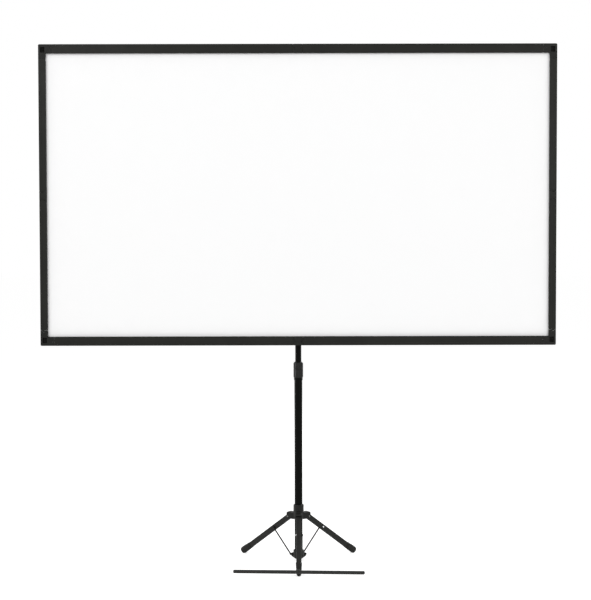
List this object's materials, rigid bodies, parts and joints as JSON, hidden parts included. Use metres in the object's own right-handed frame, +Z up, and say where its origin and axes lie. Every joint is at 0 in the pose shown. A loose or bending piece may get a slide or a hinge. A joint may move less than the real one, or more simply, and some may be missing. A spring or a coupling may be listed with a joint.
{
  "type": "portable projection screen",
  "caption": "White projection sheet in a folding black frame, carried by a hub on a telescopic tripod mast with folding legs, braces and a stabilizer bar.",
  "frame": {"origin": "on the floor, under the middle of the bounding box", "axes": "+X to the right as the viewer sees the sheet, +Y away from the viewer, +Z up along the mast"},
  "size_m": [1.822, 0.3919, 1.839],
  "materials": {
    "frame_rail": "satin black powder coat",
    "joint_plastic": "fine moulded texture",
    "mast_tube": "satin black anodised",
    "leg_paint": "satin dark grey paint",
    "grip_plastic": "moulded, ribbed",
    "zinc_rivet": "bright zinc",
    "brace_wire": "drawn wire",
    "foot_rubber": "matt",
    "inner_nylon": "natural",
    "screen_fabric": "matt white coated cloth"
  },
  "bodies": {
    "stand": {"mast_outer_tube": "mast_tube", "brace_collar": "joint_plastic", "lock_collet": "inner_nylon"},
    "lock_collar": {"height_lock_collar": "grip_plastic"},
    "spider": {"leg_spider": "joint_plastic", "leg_pin_front": "zinc_rivet", "leg_pin_right": "zinc_rivet", "leg_pin_left": "zinc_rivet"},
    "spider_knob": {"spider_clamp_knob": "grip_plastic"},
    "leg_front": {"leg_front": "leg_paint", "foot_front": "foot_rubber", "brace_rivet_front": "zinc_rivet", "stabilizer_pivot": "leg_paint"},
    "leg_right": {"leg_right": "leg_paint", "foot_right": "foot_rubber", "brace_rivet_right": "zinc_rivet"},
    "leg_left": {"leg_left": "leg_paint", "foot_left": "foot_rubber", "brace_rivet_left": "zinc_rivet"},
    "brace_front": {"brace_front": "brace_wire"},
    "brace_right": {"brace_right": "brace_wire"},
    "brace_left": {"brace_left": "brace_wire"},
    "stabilizer": {"stabilizer_bar": "leg_paint", "bar_cap_left": "foot_rubber", "bar_cap_right": "foot_rubber"},
    "screen_post": {"mast_inner_tube": "mast_tube", "mast_guide_bush": "inner_nylon", "screen_hub": "joint_plastic", "screen_sheet": "screen_fabric", "hub_pin_top_left": "zinc_rivet", "hub_pin_top_right": "zinc_rivet", "hub_pin_bottom_left": "zinc_rivet", "hub_pin_bottom_right": "zinc_rivet"},
    "hub_knob": {"hub_clamp_knob": "grip_plastic"},
    "arm_top_left": {"arm_top_left": "leg_paint"},
    "corner_top_left": {"corner_top_left": "joint_plastic", "corner_pin_top_left": "zinc_rivet"},
    "rail_top_left": {"rail_top_left": "frame_rail"},
    "rail_left_upper": {"rail_left_upper": "frame_rail"},
    "link_top": {"link_top": "frame_rail"},
    "link_left": {"link_left": "frame_rail"},
    "arm_top_right": {"arm_top_right": "leg_paint"},
    "corner_top_right": {"corner_top_right": "joint_plastic", "corner_pin_top_right": "zinc_rivet"},
    "rail_top_right": {"rail_top_right": "frame_rail"},
    "rail_right_upper": {"rail_right_upper": "frame_rail"},
    "link_right": {"link_right": "frame_rail"},
    "arm_bottom_left": {"arm_bottom_left": "leg_paint"},
    "corner_bottom_left": {"corner_bottom_left": "joint_plastic", "corner_pin_bottom_left": "zinc_rivet"},
    "rail_bottom_left": {"rail_bottom_left": "frame_rail"},
    "rail_left_lower": {"rail_left_lower": "frame_rail"},
    "link_bottom": {"link_bottom": "frame_rail"},
    "arm_bottom_right": {"arm_bottom_right": "leg_paint"},
    "corner_bottom_right": {"corner_bottom_right": "joint_plastic", "corner_pin_bottom_right": "zinc_rivet"},
    "rail_bottom_right": {"rail_bottom_right": "frame_rail"},
    "rail_right_lower": {"rail_right_lower": "frame_rail"}
  },
  "joints": [
    {"name": "mast_height", "type": "slide", "parent": "stand", "child": "screen_post", "axis": [0, 0, 1], "range_m": [-0.4, 0.15]},
    {"name": "height_lock_twist", "type": "hinge", "parent": "stand", "child": "lock_collar", "pos_m": [0, 0.06555, 0.65], "axis": [0, 0, 1], "range_deg": [0, 90]},
    {"name": "tripod_fold", "type": "slide", "parent": "stand", "child": "spider", "axis": [0, 0, 1], "range_m": [0, 0.055]},
    {"name": "leg_front_fold", "type": "hinge", "parent": "spider", "child": "leg_front", "pos_m": [0, 0.02735, 0.1563], "axis": [1, 0, 0], "range_deg": [0, 53.21]},
    {"name": "brace_front_fold", "type": "hinge", "parent": "stand", "child": "brace_front", "pos_m": [0, 0.03905, 0.021], "axis": [-1, 0, 0], "range_deg": [0, 32.89]},
    {"name": "leg_right_fold", "type": "hinge", "parent": "spider", "child": "leg_right", "pos_m": [0.03308, 0.08464, 0.1563], "axis": [-0.5, 0.866, 0], "range_deg": [0, 53.21]},
    {"name": "brace_right_fold", "type": "hinge", "parent": "stand", "child": "brace_right", "pos_m": [0.02295, 0.0788, 0.021], "axis": [0.5, -0.866, 0], "range_deg": [0, 32.89]},
    {"name": "leg_left_fold", "type": "hinge", "parent": "spider", "child": "leg_left", "pos_m": [-0.03308, 0.08464, 0.1563], "axis": [-0.5, -0.866, 0], "range_deg": [0, 53.21]},
    {"name": "brace_left_fold", "type": "hinge", "parent": "stand", "child": "brace_left", "pos_m": [-0.02295, 0.0788, 0.021], "axis": [0.5, 0.866, 0], "range_deg": [0, 32.89]},
    {"name": "spider_knob_turn", "type": "hinge", "parent": "spider", "child": "spider_knob", "pos_m": [0, 0.09134, 0.19031], "axis": [0, 1, 0], "range_deg": [0, 180]},
    {"name": "stabilizer_swivel", "type": "hinge", "parent": "leg_front", "child": "stabilizer", "pos_m": [0, -0.1867, 0.01673], "axis": [0, -0.599, 0.8007], "range_deg": [0, 90]},
    {"name": "hub_knob_turn", "type": "hinge", "parent": "screen_post", "child": "hub_knob", "pos_m": [0, 0.09134, 1.275], "axis": [0, 1, 0], "range_deg": [0, 180]},
    {"name": "screen_fold", "type": "hinge", "parent": "screen_post", "child": "arm_top_left", "pos_m": [-0.014, 0.03254, 1.323], "axis": [0.4785, 0, 0.8781], "range_deg": [0, 85], "deforming": ["screen_sheet"]},
    {"name": "corner_top_left_fold", "type": "hinge", "parent": "arm_top_left", "child": "corner_top_left", "pos_m": [-0.8655, 0.03254, 1.787], "axis": [0.4785, 0, 0.8781], "range_deg": [-85, 0]},
    {"name": "rail_top_left_fold", "type": "hinge", "parent": "corner_top_left", "child": "rail_top_left", "pos_m": [-0.8655, 0.00455, 1.807], "axis": [0, 0, 1], "range_deg": [0, 85]},
    {"name": "rail_left_upper_fold", "type": "hinge", "parent": "corner_top_left", "child": "rail_left_upper", "pos_m": [-0.8855, 0.00455, 1.787], "axis": [1, 0, 0], "range_deg": [0, 85]},
    {"name": "link_top_fold", "type": "hinge", "parent": "rail_top_left", "child": "link_top", "pos_m": [-0.014, 0.00455, 1.807], "axis": [0, 0, 1], "range_deg": [-85, 0]},
    {"name": "link_left_fold", "type": "hinge", "parent": "rail_left_upper", "child": "link_left", "pos_m": [-0.8855, 0.00455, 1.323], "axis": [1, 0, 0], "range_deg": [-85, 0]},
    {"name": "arm_top_right_fold", "type": "hinge", "parent": "screen_post", "child": "arm_top_right", "pos_m": [0.014, 0.03254, 1.323], "axis": [0.4785, 0, -0.8781], "range_deg": [0, 85]},
    {"name": "corner_top_right_fold", "type": "hinge", "parent": "arm_top_right", "child": "corner_top_right", "pos_m": [0.8655, 0.03254, 1.787], "axis": [0.4785, 0, -0.8781], "range_deg": [-85, 0]},
    {"name": "rail_top_right_fold", "type": "hinge", "parent": "corner_top_right", "child": "rail_top_right", "pos_m": [0.8655, 0.00455, 1.807], "axis": [0, 0, -1], "range_deg": [0, 85]},
    {"name": "rail_right_upper_fold", "type": "hinge", "parent": "corner_top_right", "child": "rail_right_upper", "pos_m": [0.8855, 0.00455, 1.787], "axis": [1, 0, 0], "range_deg": [0, 85]},
    {"name": "link_right_fold", "type": "hinge", "parent": "rail_right_upper", "child": "link_right", "pos_m": [0.8855, 0.00455, 1.323], "axis": [1, 0, 0], "range_deg": [-85, 0]},
    {"name": "arm_bottom_left_fold", "type": "hinge", "parent": "screen_post", "child": "arm_bottom_left", "pos_m": [-0.014, 0.03254, 1.295], "axis": [-0.4785, 0, 0.8781], "range_deg": [0, 85]},
    {"name": "corner_bottom_left_fold", "type": "hinge", "parent": "arm_bottom_left", "child": "corner_bottom_left", "pos_m": [-0.8655, 0.03254, 0.831], "axis": [-0.4785, 0, 0.8781], "range_deg": [-85, 0]},
    {"name": "rail_bottom_left_fold", "type": "hinge", "parent": "corner_bottom_left", "child": "rail_bottom_left", "pos_m": [-0.8655, 0.00455, 0.811], "axis": [0, 0, 1], "range_deg": [0, 85]},
    {"name": "rail_left_lower_fold", "type": "hinge", "parent": "corner_bottom_left", "child": "rail_left_lower", "pos_m": [-0.8855, 0.00455, 0.831], "axis": [-1, 0, 0], "range_deg": [0, 85]},
    {"name": "link_bottom_fold", "type": "hinge", "parent": "rail_bottom_left", "child": "link_bottom", "pos_m": [-0.014, 0.00455, 0.811], "axis": [0, 0, 1], "range_deg": [-85, 0]},
    {"name": "arm_bottom_right_fold", "type": "hinge", "parent": "screen_post", "child": "arm_bottom_right", "pos_m": [0.014, 0.03254, 1.295], "axis": [-0.4785, 0, -0.8781], "range_deg": [0, 85]},
    {"name": "corner_bottom_right_fold", "type": "hinge", "parent": "arm_bottom_right", "child": "corner_bottom_right", "pos_m": [0.8655, 0.03254, 0.831], "axis": [-0.4785, 0, -0.8781], "range_deg": [-85, 0]},
    {"name": "rail_bottom_right_fold", "type": "hinge", "parent": "corner_bottom_right", "child": "rail_bottom_right", "pos_m": [0.8655, 0.00455, 0.811], "axis": [0, 0, -1], "range_deg": [0, 85]},
    {"name": "rail_right_lower_fold", "type": "hinge", "parent": "corner_bottom_right", "child": "rail_right_lower", "pos_m": [0.8855, 0.00455, 0.831], "axis": [-1, 0, 0], "range_deg": [0, 85]}
  ],
  "couplings": [
    {"joint": "leg_front_fold", "follows": "tripod_fold", "rad_per_m": 16.882},
    {"joint": "brace_front_fold", "follows": "tripod_fold", "rad_per_m": 10.433},
    {"joint": "leg_right_fold", "follows": "tripod_fold", "rad_per_m": 16.882},
    {"joint": "brace_right_fold", "follows": "tripod_fold", "rad_per_m": 10.433},
    {"joint": "leg_left_fold", "follows": "tripod_fold", "rad_per_m": 16.882},
    {"joint": "brace_left_fold", "follows": "tripod_fold", "rad_per_m": 10.433},
    {"joint": "corner_top_left_fold", "follows": "screen_fold", "ratio": -1},
    {"joint": "rail_top_left_fold", "follows": "screen_fold", "ratio": 1},
    {"joint": "rail_left_upper_fold", "follows": "screen_fold", "ratio": 1},
    {"joint": "link_top_fold", "follows": "screen_fold", "ratio": -1},
    {"joint": "link_left_fold", "follows": "screen_fold", "ratio": -1},
    {"joint": "arm_top_right_fold", "follows": "screen_fold", "ratio": 1},
    {"joint": "corner_top_right_fold", "follows": "screen_fold", "ratio": -1},
    {"joint": "rail_top_right_fold", "follows": "screen_fold", "ratio": 1},
    {"joint": "rail_right_upper_fold", "follows": "screen_fold", "ratio": 1},
    {"joint": "link_right_fold", "follows": "screen_fold", "ratio": -1},
    {"joint": "arm_bottom_left_fold", "follows": "screen_fold", "ratio": 1},
    {"joint": "corner_bottom_left_fold", "follows": "screen_fold", "ratio": -1},
    {"joint": "rail_bottom_left_fold", "follows": "screen_fold", "ratio": 1},
    {"joint": "rail_left_lower_fold", "follows": "screen_fold", "ratio": 1},
    {"joint": "link_bottom_fold", "follows": "screen_fold", "ratio": -1},
    {"joint": "arm_bottom_right_fold", "follows": "screen_fold", "ratio": 1},
    {"joint": "corner_bottom_right_fold", "follows": "screen_fold", "ratio": -1},
    {"joint": "rail_bottom_right_fold", "follows": "screen_fold", "ratio": 1},
    {"joint": "rail_right_lower_fold", "follows": "screen_fold", "ratio": 1}
  ]
}
